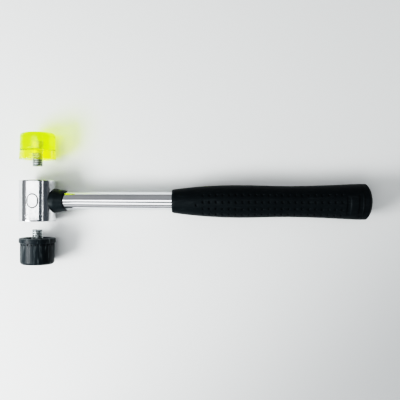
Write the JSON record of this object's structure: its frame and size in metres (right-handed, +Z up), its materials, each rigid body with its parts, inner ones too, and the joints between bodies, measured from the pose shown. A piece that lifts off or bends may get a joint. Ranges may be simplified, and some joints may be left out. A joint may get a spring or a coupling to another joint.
{
  "type": "soft-face mallet",
  "caption": "Small double-face soft mallet: plated cylindrical head on a steel tube with a dimpled rubber grip, and screw-in clear plastic and black rubber strike faces.",
  "frame": {"origin": "centre of the footprint at table height, with the mallet lying on its side and both faces laid out", "axes": "+X from the head along the handle to the butt, +Y from the head towards the clear plastic face, +Z up from the table"},
  "size_m": [0.245, 0.0916, 0.025],
  "materials": {
    "plated_head": "bright plated zinc casting, lightly pitted",
    "plated_tube": "bright plated drawn steel tube",
    "collar_rubber": "satin black",
    "grip_rubber": "matt black, dimpled panels",
    "plug_plastic": "matt moulded",
    "clear_plastic": "glossy see-through yellow-green",
    "stud_steel": "bright zinc plated thread",
    "face_rubber": "satin black, lightly scuffed"
  },
  "bodies": {
    "mallet": {"head_casting": "plated_head", "handle_tube": "plated_tube", "handle_collar": "collar_rubber", "grip_sleeve": "grip_rubber", "tube_end_plug": "plug_plastic"},
    "clear_stud": {"clear_face_stud": "stud_steel"},
    "clear_face": {"clear_face": "clear_plastic"},
    "rubber_stud": {"rubber_face_stud": "stud_steel"},
    "rubber_face": {"rubber_face": "face_rubber"}
  },
  "joints": [
    {"name": "clear_face_travel", "type": "slide", "parent": "mallet", "child": "clear_stud", "axis": [0, -1, 0], "range_m": [-0.0201, 0.0144]},
    {"name": "clear_face_turn", "type": "hinge", "parent": "clear_stud", "child": "clear_face", "pos_m": [-0.11, -0.00161, 0.0125], "axis": [0, -1, 0], "range_deg": [-5760, 4140]},
    {"name": "rubber_face_travel", "type": "slide", "parent": "mallet", "child": "rubber_stud", "axis": [0, 1, 0], "range_m": [-0.0201, 0.0116]},
    {"name": "rubber_face_turn", "type": "hinge", "parent": "rubber_stud", "child": "rubber_face", "pos_m": [-0.11, -0.00161, 0.0125], "axis": [0, 1, 0], "range_deg": [-5760, 3330]}
  ],
  "couplings": [
    {"joint": "clear_face_travel", "follows": "clear_face_turn", "m_per_rad": 0.00019894},
    {"joint": "rubber_face_travel", "follows": "rubber_face_turn", "m_per_rad": 0.00019894}
  ]
}
